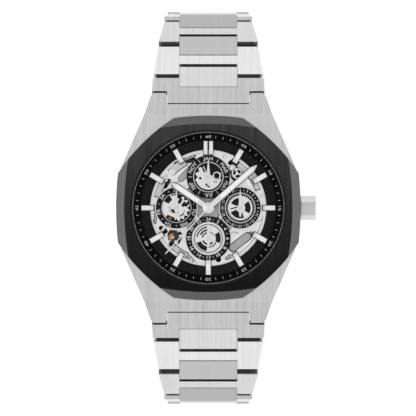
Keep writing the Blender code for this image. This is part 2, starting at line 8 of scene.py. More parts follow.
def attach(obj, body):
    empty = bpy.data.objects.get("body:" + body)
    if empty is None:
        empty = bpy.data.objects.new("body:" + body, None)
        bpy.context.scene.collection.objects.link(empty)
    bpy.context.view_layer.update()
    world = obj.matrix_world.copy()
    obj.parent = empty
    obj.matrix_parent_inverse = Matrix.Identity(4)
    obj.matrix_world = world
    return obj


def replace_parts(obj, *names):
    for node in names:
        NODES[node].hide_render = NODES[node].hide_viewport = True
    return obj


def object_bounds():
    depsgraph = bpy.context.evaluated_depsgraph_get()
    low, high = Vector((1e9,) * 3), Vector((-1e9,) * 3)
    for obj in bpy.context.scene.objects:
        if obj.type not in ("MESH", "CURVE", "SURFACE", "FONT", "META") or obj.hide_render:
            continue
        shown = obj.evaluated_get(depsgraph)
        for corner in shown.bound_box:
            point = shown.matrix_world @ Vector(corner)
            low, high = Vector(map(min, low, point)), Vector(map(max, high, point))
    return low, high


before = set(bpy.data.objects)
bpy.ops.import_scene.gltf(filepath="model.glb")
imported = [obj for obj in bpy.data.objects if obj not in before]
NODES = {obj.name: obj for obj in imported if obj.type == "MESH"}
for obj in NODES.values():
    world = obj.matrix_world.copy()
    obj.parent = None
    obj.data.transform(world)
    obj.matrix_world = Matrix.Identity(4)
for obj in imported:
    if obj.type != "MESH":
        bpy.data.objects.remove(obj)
cad_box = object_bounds()
MM = 0.001

# Heights, radii, places and angles in millimetres and degrees, most of them the frame's own
BEZEL_BOTTOM, BEZEL_TOP, BEZEL_RADIUS = 8.1, 10.8, 21.0
BRIDGE_LOW, BRIDGE_HIGH = 5.85, 6.3
POCKET_FLOOR, GROOVE_FLOOR = BRIDGE_HIGH - 0.2, BRIDGE_HIGH - 0.32
INLAY_LOW, INLAY_TOP = BRIDGE_HIGH - 0.25, BRIDGE_HIGH - 0.06
WHEEL_LOW, WHEEL_HIGH = 6.4, 6.65
SUBDIAL_LOW, SUBDIAL_TOP = 6.35, 7.0
DIAL_LOW, DIAL_TOP, MARK_LOW, MARK_TOP = 6.8, 7.2, 7.12, 7.8
CHAPTER_IN, CHAPTER_OUT, CHAPTER_LOW, CHAPTER_HIGH = 15.5, 16.95, 7.75, 9.2
MONTH, DAY, DATE, HOUR24 = (0.0, 7.08), (-7.3, 0.0), (7.3, 0.0), (0.0, -7.0)
SUBDIALS = (MONTH, DAY, DATE, HOUR24)
BALANCE_JEWEL = (-8.2, -6.7)
FIRST_PIVOT, PITCH = (31.08, 3.05), 8.1
LINK_TILTS = (20.0, 27.0, 47.0, 80.0, 104.0, 127.0, 149.0, 170.0)
LINK_HALF_WIDTHS = (12.5, 11.5, 10.3, 9.6, 9.4, 9.3, 9.2, 9.2)
LAST_LINK = len(LINK_TILTS) - 1
CENTRE_HALF_WIDTH, CENTRE_REACH = 6.64, 3.95
HOUR_ANGLE, MINUTE_ANGLE = 304.0, 48.7
PRINT_THICKNESS = 0.02
SCREW_LIFT = 0.12


# Materials

def new_material(name):
    material = bpy.data.materials.new(name)
    material.use_nodes = True
    return material, material.node_tree, material.node_tree.nodes["Principled BSDF"]


def add_node(tree, kind, **values):
    node = tree.nodes.new(kind)
    for key, value in values.items():
        if key in node.inputs:
            node.inputs[key].default_value = value
        else:
            setattr(node, key, value)
    return node


def streaks(tree, scale, detail=4.0):
    """Noise drawn out into fine lines by a different scale along each axis."""
    place = tree.nodes.new("ShaderNodeTexCoord")
    mapping = add_node(tree, "ShaderNodeMapping", Scale=scale)
    noise = add_node(tree, "ShaderNodeTexNoise", Scale=1.0, Detail=detail, Roughness=0.65)
    tree.links.new(place.outputs["Object"], mapping.inputs["Vector"])
    tree.links.new(mapping.outputs["Vector"], noise.inputs["Vector"])
    return noise.outputs["Fac"]


def spread(tree, source, low, high, start=0.3, end=0.7):
    """The value drawn out between low and high."""
    node = add_node(tree, "ShaderNodeMapRange")
    for key, value in (("From Min", start), ("From Max", end), ("To Min", low), ("To Max", high)):
        node.inputs[key].default_value = value
    tree.links.new(source, node.inputs["Value"])
    return node.outputs["Result"]


def mixed(tree, factor, first, second):
    node = tree.nodes.new("ShaderNodeMix")
    node.data_type = "RGBA"
    node.inputs["A"].default_value = (*first, 1)
    node.inputs["B"].default_value = (*second, 1)
    tree.links.new(factor, node.inputs["Factor"])
    return node.outputs["Result"]


def bumped(tree, shader, height, strength, distance):
    bump = add_node(tree, "ShaderNodeBump", Strength=strength, Distance=distance)
    tree.links.new(height, bump.inputs["Height"])
    tree.links.new(bump.outputs["Normal"], shader.inputs["Normal"])


def brushed(name, dark, light, roughness, scale, strength=0.12, metallic=1.0, specular=0.5):
    """Metal with a fine directional grain, a broader tone under it and a few longer scratches."""
    material, tree, shader = new_material(name)
    fine = streaks(tree, scale)
    broad = streaks(tree, tuple(s * 0.13 for s in scale), 2.0)
    both = add_node(tree, "ShaderNodeMath", operation="ADD")
    weight = add_node(tree, "ShaderNodeMath", operation="MULTIPLY")
    weight.inputs[1].default_value = 0.5
    tree.links.new(fine, both.inputs[0])
    tree.links.new(broad, both.inputs[1])
    tree.links.new(both.outputs[0], weight.inputs[0])
    value = weight.outputs[0]
    tree.links.new(mixed(tree, spread(tree, value, 0, 1), dark, light), shader.inputs["Base Color"])
    low, high = roughness
    tree.links.new(spread(tree, value, low, high), shader.inputs["Roughness"])
    shader.inputs["Metallic"].default_value = metallic
    shader.inputs["Specular IOR Level"].default_value = specular
    bumped(tree, shader, fine, strength, 0.00001)
    return material


def grey(value, warm=0.0):
    return (value + warm, value, value - warm)


ALONG = (9000.0, 260.0, 260.0)
ROUND_FINE = (4000.0, 4000.0, 4000.0)
STEEL = brushed("brushed_steel", grey(0.56), grey(0.72), (0.2, 0.28), ALONG)
# Lit and shaded copies of the brushed steel, for the bracelet's centre pieces: painted highlight and painted
# shade.
STEEL_PAINTED_HIGHLIGHT = brushed("brushed_steel_painted_highlight", grey(0.76), grey(0.86), (0.18, 0.26), ALONG)
STEEL_PAINTED_SHADE = brushed("brushed_steel_painted_shade", grey(0.4), grey(0.47), (0.2, 0.28), ALONG)
CROWN_STEEL = brushed("crown_steel", grey(0.56), grey(0.7), (0.26, 0.36), (260.0, 6000.0, 6000.0))
POLISHED = brushed("polished_steel", grey(0.84), grey(0.92), (0.08, 0.16), ALONG, 0.03)
SILVER = brushed("silver_bridge", grey(0.9), grey(0.98), (0.26, 0.36), (5000.0, 300.0, 300.0), 0.06)
SILVER_FROST = brushed("frosted_silver", grey(0.72), grey(0.9), (0.4, 0.55), ROUND_FINE, 0.2)
GEAR = brushed("plated_gear", grey(0.86, 0.01), grey(0.95, 0.01), (0.2, 0.3), ROUND_FINE, 0.05)
BEZEL_GRAIN = (7000.0, 240.0, 240.0)
BEZEL_TOP_BLACK_PAINTED_LIGHT = brushed("black_brushed_painted_light", grey(0.014), grey(0.044), (0.3, 0.42), BEZEL_GRAIN, 0.2, 0.6, 0.2)
BEZEL_FACET = brushed("black_satin_facet", grey(0.13), grey(0.15), (0.32, 0.36), ROUND_FINE, 0.02, 0.7)
DIAL_BLACK = brushed("satin_black_dial", grey(0.004), grey(0.009), (0.3, 0.42), ROUND_FINE, 0.03, 0.0, 0.12)
GLOSS_BLACK = brushed("gloss_black", grey(0.002), grey(0.004), (0.16, 0.22), ROUND_FINE, 0.01, 0.0, 0.06)
POCKET_GREY = brushed("frosted_pocket", grey(0.42), grey(0.56), (0.4, 0.5), ROUND_FINE, 0.12, 0.95)
PLATE_GREY = brushed("satin_cover_plate", grey(0.66), grey(0.78), (0.34, 0.44), (300.0, 5000.0, 300.0), 0.08)
# Dark steel: the balance cock and the barrel, and also painted shade on bevelled edges, under the markers and
# long hands and in the bracelet's gaps.
DARK_STEEL = brushed("dark_steel", grey(0.03), grey(0.07), (0.3, 0.42), ROUND_FINE, 0.1, 0.9)
# The dark plate: the main plate and the small dials' floors, and also painted shade on the bridge's bevels,
# walls and sunk floors.
PLATE_DARK = brushed("dark_plate", grey(0.008), grey(0.02), (0.35, 0.5), ROUND_FINE, 0.15, 0.6, 0.2)
PRINT = brushed("printed_scale", grey(0.55), grey(0.62), (0.5, 0.6), ROUND_FINE, 0.02, 0.0)
PRINT_BRIGHT = brushed("printed_white", grey(0.8), grey(0.86), (0.5, 0.6), ROUND_FINE, 0.02, 0.0)
LUME = brushed("white_lume", grey(0.96), grey(0.99), (0.5, 0.65), ROUND_FINE, 0.08, 0.0)
RUBBER = brushed("black_rubber", grey(0.012), grey(0.02), (0.7, 0.85), ROUND_FINE, 0.3, 0.0)
HAIRSPRING_STEEL = brushed("dark_hairspring", grey(0.02), grey(0.04), (0.3, 0.4), ROUND_FINE, 0.05, 0.9)
JEWEL = brushed("orange_jewel", (0.75, 0.2, 0.01), (0.9, 0.32, 0.03), (0.08, 0.14), ROUND_FINE, 0.01, 0.0)


def shade_across(material, low, high, light_side, dark_side):
    """Paints light and shade on a finish: its colour is scaled from dark_side at Y = low to light_side at Y =
    high, in metres.
    """
    tree = material.node_tree
    shader = tree.nodes["Principled BSDF"]
    source = shader.inputs["Base Color"].links[0].from_socket
    place = tree.nodes.new("ShaderNodeTexCoord")
    split = tree.nodes.new("ShaderNodeSeparateXYZ")
    tree.links.new(place.outputs["Object"], split.inputs["Vector"])
    painted_light = spread(tree, split.outputs["Y"], dark_side, light_side, low, high)
    scaled = add_node(tree, "ShaderNodeVectorMath", operation="SCALE")
    tree.links.new(source, scaled.inputs[0])
    tree.links.new(painted_light, scaled.inputs["Scale"])
    tree.links.new(scaled.outputs[0], shader.inputs["Base Color"])


# Painted light on the bezel's black top: lighter towards 12 and darker towards 6.
shade_across(BEZEL_TOP_BLACK_PAINTED_LIGHT, -0.017, 0.017, 1.4, 0.15)


def make_glass():
    material, tree, shader = new_material("coated_sapphire")
    wear = streaks(tree, (300.0, 300.0, 300.0))
    tree.links.new(spread(tree, wear, 0.01, 0.04), shader.inputs["Roughness"])
    shader.inputs["Base Color"].default_value = (0.02, 0.025, 0.035, 1)
    shader.inputs["Specular IOR Level"].default_value = 0.1
    shader.inputs["Alpha"].default_value = 0.03
    return material


GLASS = make_glass()


# Shapes, in millimetres

def circle(radius, steps=96, centre=(0.0, 0.0)):
    turn = 2 * math.pi / steps
    x, y = centre
    return [(x + radius * math.cos(i * turn), y + radius * math.sin(i * turn)) for i in range(steps)]


def moved(points, degrees=0.0, shift=(0.0, 0.0)):
    c, s = math.cos(math.radians(degrees)), math.sin(math.radians(degrees))
    return [(x * c - y * s + shift[0], x * s + y * c + shift[1]) for x, y in points]


def capsule(start, end, radius, steps=10):
    """The outline of a slot with round ends."""
    heading = math.atan2(end[1] - start[1], end[0] - start[0])
    points = []
    for centre, first in ((end, -0.5), (start, 0.5)):
        for i in range(steps + 1):
            angle = heading + math.pi * (first + i / steps)
            points.append((centre[0] + radius * math.cos(angle), centre[1] + radius * math.sin(angle)))
    return points


def sector(inner, outer, low, high, centre=(0.0, 0.0), steps=20):
    angles = [math.radians(low + (high - low) * i / steps) for i in range(steps + 1)]
    points = [(outer * math.cos(a), outer * math.sin(a)) for a in angles]
    points += [(inner * math.cos(a), inner * math.sin(a)) for a in reversed(angles)]
    return moved(points, 0, centre)


def gear(teeth, tip, root, centre=(0.0, 0.0)):
    """A gear rim with flat-topped teeth."""
    points = []
    for i in range(teeth):
        for radius, part in ((root, 0.0), (root, 0.28), (tip, 0.42), (tip, 0.62), (root, 0.76)):
            angle = 2 * math.pi * (i + part) / teeth
            points.append((radius * math.cos(angle), radius * math.sin(angle)))
    return moved(points, 0, centre)


def box_outline(half_width, low, high):
    return [(-half_width, low), (half_width, low), (half_width, high), (-half_width, high)]


def clean(mesh, merge):
    form = bmesh.new()
    form.from_mesh(mesh)
    bmesh.ops.remove_doubles(form, verts=form.verts, dist=merge)
    bmesh.ops.recalc_face_normals(form, faces=form.faces)
    form.to_mesh(mesh)
    form.free()


def outline_mesh(outlines, low, high):
    """A solid mesh, in millimetres, whose later outlines are holes in the first."""
    curve = bpy.data.curves.new("outline", "CURVE")
    curve.dimensions = "2D"
    curve.fill_mode = "BOTH"
    curve.extrude = (high - low) / 2
    for points in outlines:
        spline = curve.splines.new("POLY")
        spline.points.add(len(points) - 1)
        for point, (x, y) in zip(spline.points, points):
            point.co = (x, y, 0, 1)
        spline.use_cyclic_u = True
    guide = bpy.data.objects.new("outline", curve)
    bpy.context.scene.collection.objects.link(guide)
    bpy.context.view_layer.update()
    mesh = bpy.data.meshes.new_from_object(guide.evaluated_get(bpy.context.evaluated_depsgraph_get()))
    bpy.data.objects.remove(guide)
    bpy.data.curves.remove(curve)
    clean(mesh, 1e-4)
    mesh.transform(Matrix.Translation((0, 0, (low + high) / 2)))
    return mesh


def piece(name, mesh, material, body, bevel=0.0, segments=2, sharp=35.0, edge=None):
    """Makes a piece of the watch from a mesh in millimetres; edge is the material of its bevelled edges,
    given only as dark steel for painted shade along them.
    """
    mesh.transform(Matrix.Scale(MM, 4))
    mesh.name = name
    mesh.materials.clear()
    mesh.materials.append(material)
    obj = bpy.data.objects.new(name, mesh)
    bpy.context.scene.collection.objects.link(obj)
    if bevel:
        modifier = rounded(obj, bevel, segments)
        if edge:
            mesh.materials.append(edge)
            modifier.material = 1
    mesh.shade_smooth()
    mesh.set_sharp_from_angle(angle=math.radians(sharp))
    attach(obj, body)
    return obj


def rounded(obj, width, segments=2, angle=30.0):
    modifier = obj.modifiers.new("edge", "BEVEL")
    modifier.width = width * MM
    modifier.segments = segments
    modifier.limit_method = "ANGLE"
    modifier.angle_limit = math.radians(angle)
    modifier.harden_normals = True
    return modifier


def joined(meshes):
    """Several meshes as one; each source is used up."""
    form = bmesh.new()
    for mesh in meshes:
        form.from_mesh(mesh)
        bpy.data.meshes.remove(mesh)
    result = bpy.data.meshes.new("joined")
    form.to_mesh(result)
    form.free()
    return result


def turned_mesh(profile, steps=192):
    """A closed profile of (radius, height) points turned about Z."""
    area = sum(a[0] * b[1] - b[0] * a[1] for a, b in zip(profile, profile[1:] + profile[:1]))
    points = profile if area < 0 else profile[::-1]
    form = bmesh.new()
    rings = []
    for i in range(steps):
        angle = 2 * math.pi * i / steps
        rings.append([form.verts.new((r * math.cos(angle), r * math.sin(angle), z)) for r, z in points])
    for i in range(steps):
        here, there = rings[i], rings[(i + 1) % steps]
        for j in range(len(points)):
            k = (j + 1) % len(points)
            form.faces.new((here[j], here[k], there[k], there[j]))
    bmesh.ops.recalc_face_normals(form, faces=form.faces)
    mesh = bpy.data.meshes.new("turned")
    form.to_mesh(mesh)
    form.free()
    return mesh


def at_clock(degrees, radius, height, slope=0.0, centre=(0.0, 0.0), flip=False):
    """A place at a clockwise angle from 12, whose local +Y points outward, tipped up by slope."""
    turn = Matrix.Rotation(math.radians(-degrees), 4, "Z")
    place = Matrix.Translation((centre[0], centre[1], 0)) @ turn @ Matrix.Translation((0, radius, height))
    place = place @ Matrix.Rotation(math.radians(slope), 4, "X")
    return place @ Matrix.Rotation(math.pi, 4, "Z") if flip else place


def text_mesh(text, size, stretch, place):
    curve = bpy.data.curves.new("label", "FONT")
    curve.body = text
    curve.size = size
    curve.align_x = "CENTER"
    curve.align_y = "CENTER"
    curve.extrude = PRINT_THICKNESS / 2
    curve.resolution_u = 3
    curve.offset = 0.004
    guide = bpy.data.objects.new("label", curve)
    bpy.context.scene.collection.objects.link(guide)
    bpy.context.view_layer.update()
    mesh = bpy.data.meshes.new_from_object(guide.evaluated_get(bpy.context.evaluated_depsgraph_get()))
    bpy.data.objects.remove(guide)
    mesh.transform(place @ Matrix.Diagonal((stretch[0], stretch[1], 1, 1)))
    return mesh


def bar_mesh(half_width, low, high, place):
    mesh = outline_mesh([box_outline(half_width, low, high)], -PRINT_THICKNESS / 2, PRINT_THICKNESS / 2)
    mesh.transform(place)
    return mesh


def dot_mesh(radius, place):
    mesh = outline_mesh([circle(radius, 12)], -PRINT_THICKNESS / 2, PRINT_THICKNESS / 2)
    mesh.transform(place)
    return mesh


def boolean_mesh(base, operation, cutters):
    """The base mesh joined with, cut by or kept inside each cutter in turn."""
    obj = bpy.data.objects.new("solid", base)
    bpy.context.scene.collection.objects.link(obj)
    helpers = []
    for mesh in cutters:
        helper = bpy.data.objects.new("cutter", mesh)
        bpy.context.scene.collection.objects.link(helper)
        modifier = obj.modifiers.new("cut", "BOOLEAN")
        modifier.operation = operation
        modifier.solver = "EXACT"
        modifier.object = helper
        helpers.append(helper)
    bpy.context.view_layer.update()
    result = bpy.data.meshes.new_from_object(obj.evaluated_get(bpy.context.evaluated_depsgraph_get()))
    for helper in [obj, *helpers]:
        bpy.data.objects.remove(helper)
    return result


def cone_mesh(bottom, top, low, high, centre=(0.0, 0.0), steps=256):
    form = bmesh.new()
    bmesh.ops.create_cone(form, cap_ends=True, segments=steps, radius1=bottom, radius2=top, depth=high - low)
    mesh = bpy.data.meshes.new("cone")
    form.to_mesh(mesh)
    form.free()
    mesh.transform(Matrix.Translation((centre[0], centre[1], (low + high) / 2)))
    return mesh


# Stage, camera and lights

def make_stage():
    lowest = cad_box[0].z
    form = bmesh.new()
    bmesh.ops.create_grid(form, x_segments=2, y_segments=2, size=3.0)
    mesh = bpy.data.meshes.new("floor")
    form.to_mesh(mesh)
    form.free()
    floor = bpy.data.objects.new("floor", mesh)
    floor.location.z = lowest - 0.0001
    bpy.context.scene.collection.objects.link(floor)
    material, tree, shader = new_material("pale_floor")
    shader.inputs["Base Color"].default_value = (0.86, 0.86, 0.86, 1)
    shader.inputs["Roughness"].default_value = 0.9
    shader.inputs["Specular IOR Level"].default_value = 0.0
    shader.inputs["Emission Color"].default_value = (1, 1, 1, 1)
    shader.inputs["Emission Strength"].default_value = 0.35
    mesh.materials.append(material)


def make_camera():
    distance, width_seen, sensor = 0.5, 0.0944, 36.0
    data = bpy.data.cameras.new("camera")
    data.sensor_width = sensor
    data.lens = sensor * distance / width_seen
    data.clip_start = 0.01
    camera = bpy.data.objects.new("camera", data)
    camera.location = (-0.00007, -0.00002, BEZEL_TOP * MM + distance)
    bpy.context.scene.collection.objects.link(camera)
    bpy.context.scene.camera = camera


def make_world():
    """A pale studio whose brightness changes with the height above the horizon."""
    world = bpy.data.worlds.new("studio")
    bpy.context.scene.world = world
    world.use_nodes = True
    tree = world.node_tree
    place = tree.nodes.new("ShaderNodeTexCoord")
    split = tree.nodes.new("ShaderNodeSeparateXYZ")
    ramp = tree.nodes.new("ShaderNodeValToRGB")
    tree.links.new(place.outputs["Generated"], split.inputs["Vector"])
    tree.links.new(split.outputs["Z"], ramp.inputs["Fac"])
    tree.links.new(ramp.outputs["Color"], tree.nodes["Background"].inputs["Color"])
    stops = ((0.0, 0.05), (0.15, 0.08), (0.25, 0.6), (0.44, 0.95), (0.53, 1.5), (0.62, 1.5), (0.7, 0.75),
             (0.84, 0.68), (1.0, 0.88))
    elements = ramp.color_ramp.elements
    while len(elements) < len(stops):
        elements.new(0.5)
    for element, (position, value) in zip(elements, stops):
        element.position = position
        element.color = (value, value, value, 1)
    tree.nodes["Background"].inputs["Strength"].default_value = 1.0


def make_light(name, place, size, power):
    data = bpy.data.lights.new(name, "AREA")
    data.shape = "RECTANGLE"
    data.size, data.size_y = size
    data.energy = power
    light = bpy.data.objects.new(name, data)
    light.location = place
    light.rotation_euler = (-Vector(place)).to_track_quat("-Z", "Y").to_euler()
    bpy.context.scene.collection.objects.link(light)


def make_lights():
    make_light("left_softbox", (-0.6, 0.0, 0.5), (0.8, 0.8), 1.0)
    make_light("right_softbox", (0.7, 0.0, 0.4), (0.6, 0.8), 0.6)


# Case

def bezel_outline(steps=28):
    corners = [(7.83, 20.46), (20.57, 7.92)]
    corners += [(x, -y) for x, y in reversed(corners)]
    corners += [(-x, y) for x, y in reversed(corners)]
    points = []
    for i, start in enumerate(corners):
        end = corners[(i + 1) % len(corners)]
        dx, dy = end[0] - start[0], end[1] - start[1]
        length = math.hypot(dx, dy)
        rise = 0.86 if i % 2 == 0 else BEZEL_RADIUS - max(abs(start[0]), abs(start[1]))
        for j in range(steps):
            t = j / steps
            bulge = rise * 4 * t * (1 - t)
            points.append((start[0] + dx * t - dy / length * bulge, start[1] + dy * t + dx / length * bulge))
    return points


def make_bezel():
    """The eight-sided bezel: four wide facets meet its flat top along shallow arcs."""
    facet_centre, facet_width, facet_drop = 44.8, 1.9, 1.3
    slope = facet_width / facet_drop
    reach = BEZEL_RADIUS - facet_width + facet_centre
    low, high = BEZEL_BOTTOM - 1, BEZEL_TOP + 1
    cones = [
        cone_mesh(reach + slope * (BEZEL_TOP - low), reach - slope * (high - BEZEL_TOP), low, high,
                  (x * facet_centre, y * facet_centre), 720)
        for x, y in ((0, -1), (0, 1), (1, 0), (-1, 0))
    ]
    solid = boolean_mesh(outline_mesh([bezel_outline()], BEZEL_BOTTOM, BEZEL_TOP), "INTERSECT", cones)
    bores = [
        cone_mesh(17.3, 17.3, 7, 12),
        cone_mesh(17.72, 17.72, 9.3, 12),
        cone_mesh(17.2, 18.5, 10.2, 11.5),
    ]
    solid = boolean_mesh(solid, "DIFFERENCE", bores)
    obj = piece("bezel_faceted", solid, BEZEL_TOP_BLACK_PAINTED_LIGHT, "case", 0.05, 2, 20)
    solid.materials.append(BEZEL_FACET)
    for face in solid.polygons:
        if face.normal.z < 0.95 and face.center.xy.length > 18.5 * MM:
            face.material_index = 1
    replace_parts(obj, "bezel")


def make_crystal():
    profile = [(0.02, 9.4), (17.6, 9.4), (17.6, 10.75), (17.4, 10.95), (0.02, 10.95)]
    obj = piece("domed_crystal", turned_mesh(profile), GLASS, "case")
    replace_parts(obj, "crystal")
    glass_back = [(0.02, 0.0), (12.45, 0.0), (12.6, 0.15), (12.6, 1.2), (0.02, 1.2)]
    obj = piece("back_crystal", turned_mesh(glass_back, 128), GLASS, "case")
    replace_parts(obj, "caseback_glass")
    gasket = [(17.3, 9.45), (17.3, 9.6), (17.7, 9.6), (17.7, 9.32), (17.35, 9.32)]
    piece("crystal_gasket", turned_mesh(gasket, 128), RUBBER, "case")


def make_caseback():
    ring = turned_mesh([(12.8, 0.35), (13.0, 0.15), (17.0, 0.15), (17.2, 0.35), (17.2, 1.35), (12.8, 1.35)])
    slots = []
    for i in range(6):
        outline = [moved(box_outline(0.9, 15.7, 18.0), 60 * i)]
        slots.append(outline_mesh(outline, -0.5, 0.6))
    ring = boolean_mesh(ring, "DIFFERENCE", slots)
    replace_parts(piece("caseback_screw_ring", ring, STEEL, "case", 0.06), "caseback_ring")
    screws = []
    for i in range(6):
        screws.append(caseback_screw(60 * i + 30))
    piece("caseback_screws", joined(screws), POLISHED, "case")


def caseback_screw(degrees, radius=0.55, lift=0.06, depth=0.3):
    """A screw head that faces down, at a clockwise angle from 12."""
    profile = [(0.02, -depth), (radius, -depth), (radius, lift * 0.6), (radius * 0.86, lift), (0.02, lift)]
    mesh = turned_mesh(profile, 28)
    mesh.transform(Matrix.Rotation(math.pi, 4, "X"))
    mesh.transform(at_clock(degrees, 14.4, 0.15))
    return mesh


# Dial side

def make_chapter_ring():
    profile = [(CHAPTER_IN, 7.3), (16.2, 7.3), (16.2, 8.15), (17.15, 8.15), (17.15, CHAPTER_HIGH),
               (CHAPTER_OUT, CHAPTER_HIGH), (CHAPTER_IN, CHAPTER_LOW)]
    ring = piece("chapter_ring_turned", turned_mesh(profile), GLOSS_BLACK, "case")
    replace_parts(ring, "chapter_ring")
    slope = math.degrees(math.atan2(CHAPTER_HIGH - CHAPTER_LOW, CHAPTER_OUT - CHAPTER_IN))
    middle, height = (CHAPTER_IN + CHAPTER_OUT) / 2, (CHAPTER_LOW + CHAPTER_HIGH) / 2 + 0.02
    ticks, numbers = [], []
    for minute in range(60):
        place = at_clock(6 * minute, middle, height, slope)
        if minute % 5:
            ticks.append(bar_mesh(0.05, -0.36, 0.36, place))
        else:
            label = f"{minute or 60:02d}"
            numbers.append(text_mesh(label, 0.95, (1.45, 1.3), place))
    piece("minute_ticks", joined(ticks), PRINT, "case")
    piece("minute_numbers", joined(numbers), PRINT, "case")


def make_dial_ring():
    profile = [
        (13.3, DIAL_LOW), (13.3, 7.0), (13.7, 7.0), (13.82, 7.14),
        (15.3, DIAL_TOP), (16.1, DIAL_TOP), (16.1, DIAL_LOW),
    ]
    ring = piece("dial_ring_turned", turned_mesh(profile), DIAL_BLACK, "case")
    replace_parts(ring, "dial_ring")
    for hour in range(12):
        if hour == 0:
            make_marker("00_left", 0, -0.62, 0.45, 12.1)
            make_marker("00_right", 0, 0.62, 0.45, 12.1)
        else:
            make_marker(f"{hour:02d}", 30 * hour, 0.0, 0.585, 12.4 if hour in (3, 9) else 11.85)


def marker_block(degrees, across, half, inner, outer, low, high):
    """An upright block along a radius, between two distances from the centre and two heights."""
    mesh = outline_mesh([moved(box_outline(half, inner, outer), 0, (across, 0))], low, high)
    mesh.transform(Matrix.Rotation(math.radians(-degrees), 4, "Z"))
    return mesh


def make_marker(name, degrees, across, half, inner, outer=15.38):
    """An applied hour marker: a polished body with painted shade on its bevelled edges, a wider dark plate
    under it as a painted shade outline, and a white inlay on its outer part.
    """
    body = marker_block(degrees, across, half, inner, outer, MARK_LOW, MARK_TOP - 0.04)
    piece(f"marker_{name}", body, POLISHED, "case", 0.11, edge=DARK_STEEL)
    # A dark plate a little wider than the body: a painted shade outline round the marker.
    painted_shade_outline = marker_block(degrees, across, half + 0.1, inner - 0.1, outer, MARK_LOW, 7.35)
    piece(f"marker_foot_{name}", painted_shade_outline, DARK_STEEL, "case")
    inlay = marker_block(degrees, across, half - 0.13, inner + 0.95, outer - 0.13, 7.7, MARK_TOP)
    piece(f"marker_inlay_{name}", inlay, LUME, "case", 0.02)


def subdial_ring(name, centre, inner, outer, rims):
    """The black tube of a small dial, with its thin bright rims."""
    top = SUBDIAL_TOP
    profile = [
        (inner, SUBDIAL_LOW), (inner, top - 0.05), (inner + 0.05, top),
        (outer - 0.05, top), (outer, top - 0.05), (outer, SUBDIAL_LOW),
    ]
    tube = turned_mesh(profile, 128)
    tube.transform(Matrix.Translation((*centre, 0)))
    obj = piece(f"{name}_ring_turned", tube, DIAL_BLACK, "case")
    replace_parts(obj, f"{name}_ring")
    meshes = []
    for low, high in rims:
        rim = turned_mesh([(low, top - 0.1), (low, top + 0.03), (high, top + 0.03), (high, top - 0.1)], 128)
        rim.transform(Matrix.Translation((*centre, 0)))
        meshes.append(rim)
    piece(f"{name}_rims", joined(meshes), POLISHED, "case", 0.02)


def labels(name, centre, radius, words, size, stretch=1.15, dots=True, bars=False, upright=()):
    """Words round a small dial, evenly spaced from the top, with dots or bars between them."""
    meshes = []
    height = SUBDIAL_TOP + 0.015
    step = 360 / len(words)
    for i, word in enumerate(words):
        place = at_clock(step * i, radius, height, centre=centre, flip=word in upright)
        meshes.append(text_mesh(word, size, (stretch, 1.0), place))
        between = at_clock(step * (i + 0.5), radius, height, centre=centre)
        if dots:
            meshes.append(dot_mesh(0.11, between))
        if bars:
            meshes.append(bar_mesh(0.05, -0.42, 0.42, between))
    piece(f"{name}_labels", joined(meshes), PRINT_BRIGHT, "case")


def make_subdials():
    subdial_ring("month", MONTH, 3.4, 4.95, [(3.36, 3.48)])
    labels("month", MONTH, 4.15, ["JAN", "MAR", "MAY", "JUL", "SEP", "NOV"], 1.14, 1.12, False, True)
    subdial_ring("day", DAY, 3.36, 4.9, [(3.32, 3.42), (4.7, 4.9)])
    labels("day", DAY, 4.08, ["SU", "MO", "TU", "WE", "TH", "FR", "SA"], 1.1, 1.12)
    subdial_ring("date", DATE, 3.45, 4.9, [(3.4, 3.5), (4.7, 4.9)])
    labels("date", DATE, 4.12, [str(n) for n in range(1, 32, 2)], 0.84, 1.0)
    subdial_ring("hour24", HOUR24, 3.73, 5.1, [(3.69, 3.8)])
    hours = ["24"] + [str(n) for n in range(2, 24, 2)]
    labels("hour24", HOUR24, 4.4, hours, 1.08, 1.08, upright=("8", "10", "12", "14", "16"))


def pointed_outline(half, low, shoulder, tip, tip_half):
    return [(-half, low), (half, low), (half, shoulder), (tip_half, tip), (-tip_half, tip), (-half, shoulder)]


def dress_hands():
    """Polishes the frame's hands, with painted shade on their bevelled edges."""
    for name in (
        "hour_hand", "minute_hand", "seconds_hand", "month_hand", "day_hand", "date_hand", "hour24_hand",
    ):
        NODES[name].data.materials.clear()
        NODES[name].data.materials.append(POLISHED)
        NODES[name].data.materials.append(DARK_STEEL)
        rounded(NODES[name], 0.09 if name in ("hour_hand", "minute_hand") else 0.03).material = 1


